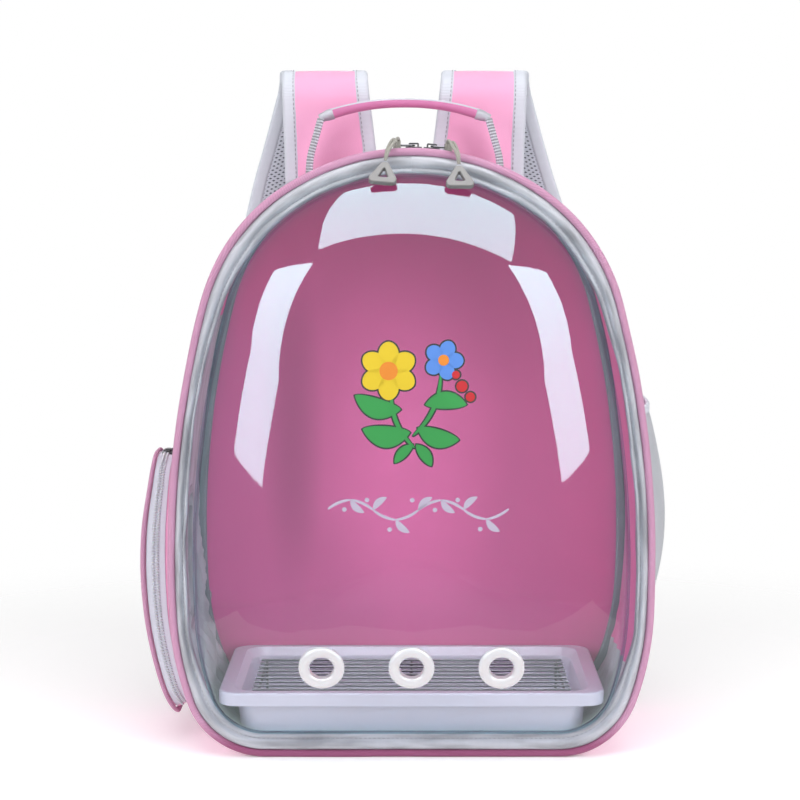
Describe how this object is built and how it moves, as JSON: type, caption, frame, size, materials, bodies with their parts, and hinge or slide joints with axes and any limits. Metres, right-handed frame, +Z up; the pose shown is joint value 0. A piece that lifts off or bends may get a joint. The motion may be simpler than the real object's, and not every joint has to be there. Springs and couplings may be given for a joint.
{
  "type": "bird travel carrier",
  "caption": "Backpack carrier with a clear domed zip-open front, vent eyelets, slide-in tray with wire grid, side pockets, top handle and padded shoulder straps.",
  "frame": {"origin": "on the floor, under the middle of the flat base", "axes": "+Z up, -Y out of the clear front, +X to the right seen from the front"},
  "size_m": [0.3698, 0.2629, 0.4817],
  "materials": {
    "pink_oxford": "woven",
    "pink_piping": "woven",
    "grey_binding": "woven",
    "grey_lining": "woven",
    "pink_lining": "woven",
    "grey_webbing": "ribbed",
    "grey_mesh": "knitted mesh",
    "air_mesh": "spacer mesh",
    "zip_tape": "woven",
    "zip_teeth": "satin",
    "stiff_board": "matte",
    "clear_plastic": "clear",
    "white_plastic": "satin",
    "tray_plastic": "satin",
    "grid_wire": "drawn wire",
    "slider_metal": "gunmetal",
    "pull_rubber": "soft matte",
    "pull_cord": "braided",
    "buckle_plastic": "matte"
  },
  "bodies": {
    "bag": {"gusset_panel": "pink_oxford", "gusset_lining": "grey_lining", "left_window_mesh": "grey_mesh", "back_panel": "pink_lining", "back_piping": "pink_piping", "inner_binding": "grey_binding", "base_panel": "pink_oxford", "base_board": "stiff_board", "floor_liner": "grey_lining", "body_zip_tape": "zip_tape", "body_zip_teeth": "zip_teeth", "back_pad_left": "air_mesh", "back_pad_right": "air_mesh", "zip_pocket_panel": "pink_oxford", "zip_pocket_piping": "pink_piping", "zip_pocket_gusset": "grey_lining", "zip_pocket_teeth": "zip_teeth", "mesh_pocket": "grey_mesh", "mesh_pocket_hem": "grey_binding", "strap_pad_left": "pink_oxford", "strap_binding_left": "grey_binding", "strap_end_loop_left": "grey_webbing", "ladder_lock_left": "buckle_plastic", "adjuster_webbing_left": "grey_webbing", "anchor_tab_left": "pink_oxford", "strap_pad_right": "pink_oxford", "strap_binding_right": "grey_binding", "strap_end_loop_right": "grey_webbing", "ladder_lock_right": "buckle_plastic", "adjuster_webbing_right": "grey_webbing", "anchor_tab_right": "pink_oxford"},
    "door": {"clear_dome": "clear_plastic", "dome_binding": "grey_binding", "front_piping": "pink_piping", "door_zip_tape": "zip_tape", "door_zip_teeth": "zip_teeth", "vent_eyelet_left": "white_plastic", "vent_eyelet_centre": "white_plastic", "vent_eyelet_right": "white_plastic", "eyelet_washers": "white_plastic"},
    "slider_left": {"zip_slider_left": "slider_metal", "slider_ring_left": "slider_metal", "cord_knot_left": "pull_cord"},
    "slider_right": {"zip_slider_right": "slider_metal", "slider_ring_right": "slider_metal", "cord_knot_right": "pull_cord"},
    "pull_left": {"pull_cord_left": "pull_cord", "pull_tab_left": "pull_rubber"},
    "pull_right": {"pull_cord_right": "pull_cord", "pull_tab_right": "pull_rubber"},
    "tray": {"dropping_tray": "tray_plastic"},
    "grid": {"standing_grid": "grid_wire", "grid_cross_wires": "grid_wire"},
    "top_handle": {"handle_grip": "pink_oxford", "handle_wrap_left": "grey_binding", "handle_wrap_right": "grey_binding", "handle_webbing_left": "grey_webbing", "handle_webbing_right": "grey_webbing"},
    "pocket_slider": {"zip_pocket_slider": "slider_metal", "zip_pocket_pull": "slider_metal"}
  },
  "joints": [
    {"name": "door_hinge", "type": "hinge", "parent": "bag", "child": "door", "pos_m": [0, -0.0775, 0.00275], "axis": [1, 0, 0], "range_deg": [0, 49]},
    {"name": "slider_left_travel", "type": "hinge", "parent": "door", "child": "slider_left", "pos_m": [0, -0.0625, 0.26105], "axis": [0, 1, 0], "range_deg": [-28, 0]},
    {"name": "slider_right_travel", "type": "hinge", "parent": "door", "child": "slider_right", "pos_m": [0, -0.0625, 0.26105], "axis": [0, 1, 0], "range_deg": [0, 23]},
    {"name": "pull_left_swing", "type": "hinge", "parent": "slider_left", "child": "pull_left", "pos_m": [-0.00989, -0.0625, 0.424], "axis": [-1, 0, 0.0096], "range_deg": [0, 100]},
    {"name": "pull_right_swing", "type": "hinge", "parent": "slider_right", "child": "pull_right", "pos_m": [0.02542, -0.0625, 0.42231], "axis": [-0.9963, 0, 0.086], "range_deg": [0, 100]},
    {"name": "tray_lift", "type": "slide", "parent": "bag", "child": "tray", "axis": [0, 0, 1], "range_m": [0, 0.1]},
    {"name": "grid_lift", "type": "slide", "parent": "tray", "child": "grid", "axis": [0, 0, 1], "range_m": [0, 0.06]},
    {"name": "handle_fold", "type": "hinge", "parent": "bag", "child": "top_handle", "pos_m": [0, 0.058, 0.40595], "axis": [1, 0, 0], "range_deg": [0, 60]},
    {"name": "pocket_slider_travel", "type": "slide", "parent": "bag", "child": "pocket_slider", "axis": [0, 1, 0], "range_m": [0, 0.05]}
  ]
}
